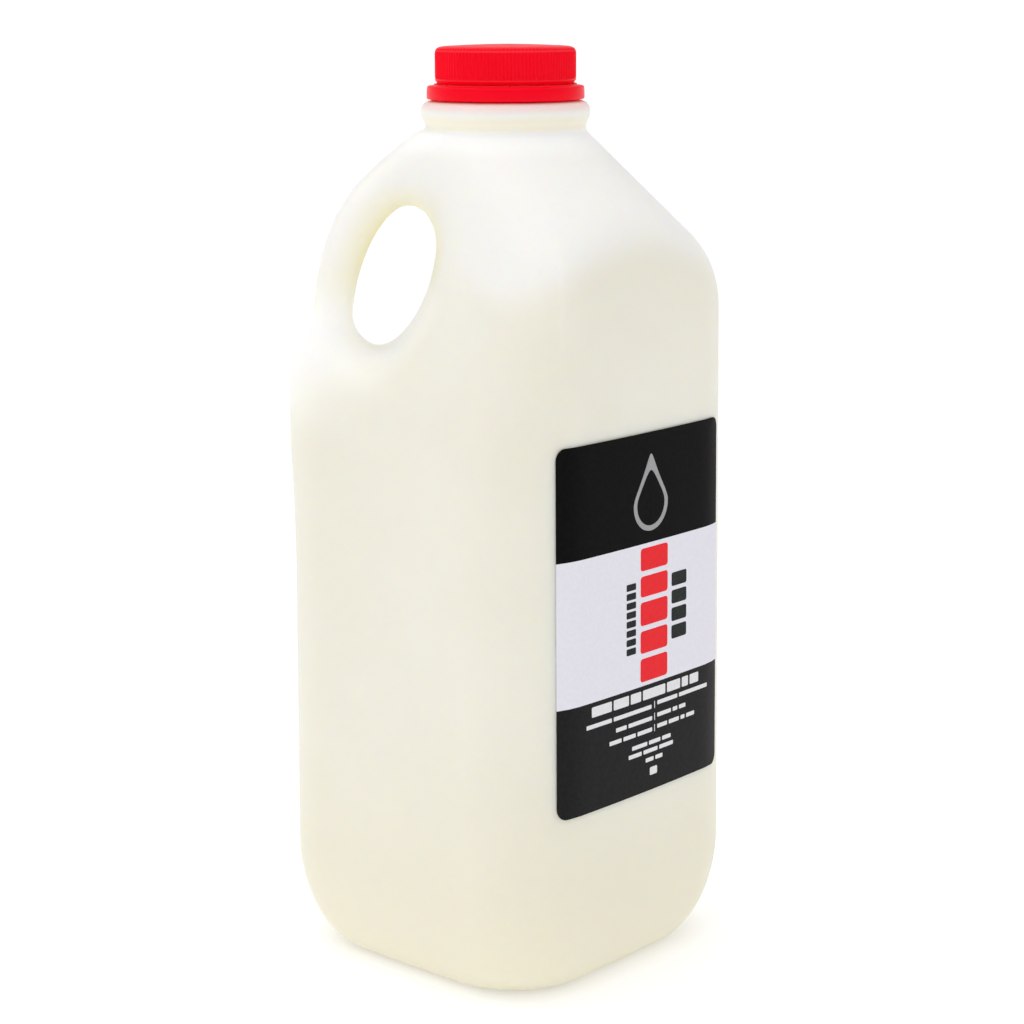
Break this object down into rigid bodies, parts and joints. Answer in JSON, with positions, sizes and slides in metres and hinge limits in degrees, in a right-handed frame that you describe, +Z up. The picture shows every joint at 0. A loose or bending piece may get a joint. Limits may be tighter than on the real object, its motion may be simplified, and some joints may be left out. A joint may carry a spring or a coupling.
{
  "type": "plastic milk jug",
  "caption": "Square blow-moulded milk jug with a corner handle over a finger grip, a ribbed screw cap with tamper ring, and a film label on one side.",
  "frame": {"origin": "centre of the base, on the surface that the jug stands on", "axes": "+Z up along the neck; the handle stands in the XZ plane over the corner at -X; the label is on the side that faces +X and -Y"},
  "size_m": [0.1243, 0.1242, 0.2612],
  "materials": {
    "milk_jug": "translucent matt plastic, white from the milk behind it",
    "cap": "satin red plastic",
    "label": "printed film in black, pale lilac and charcoal fields"
  },
  "bodies": {
    "root": {"jug_body": "milk_jug", "screw_cap": "cap", "tamper_ring": "cap", "label": "label"}
  },
  "joints": []
}
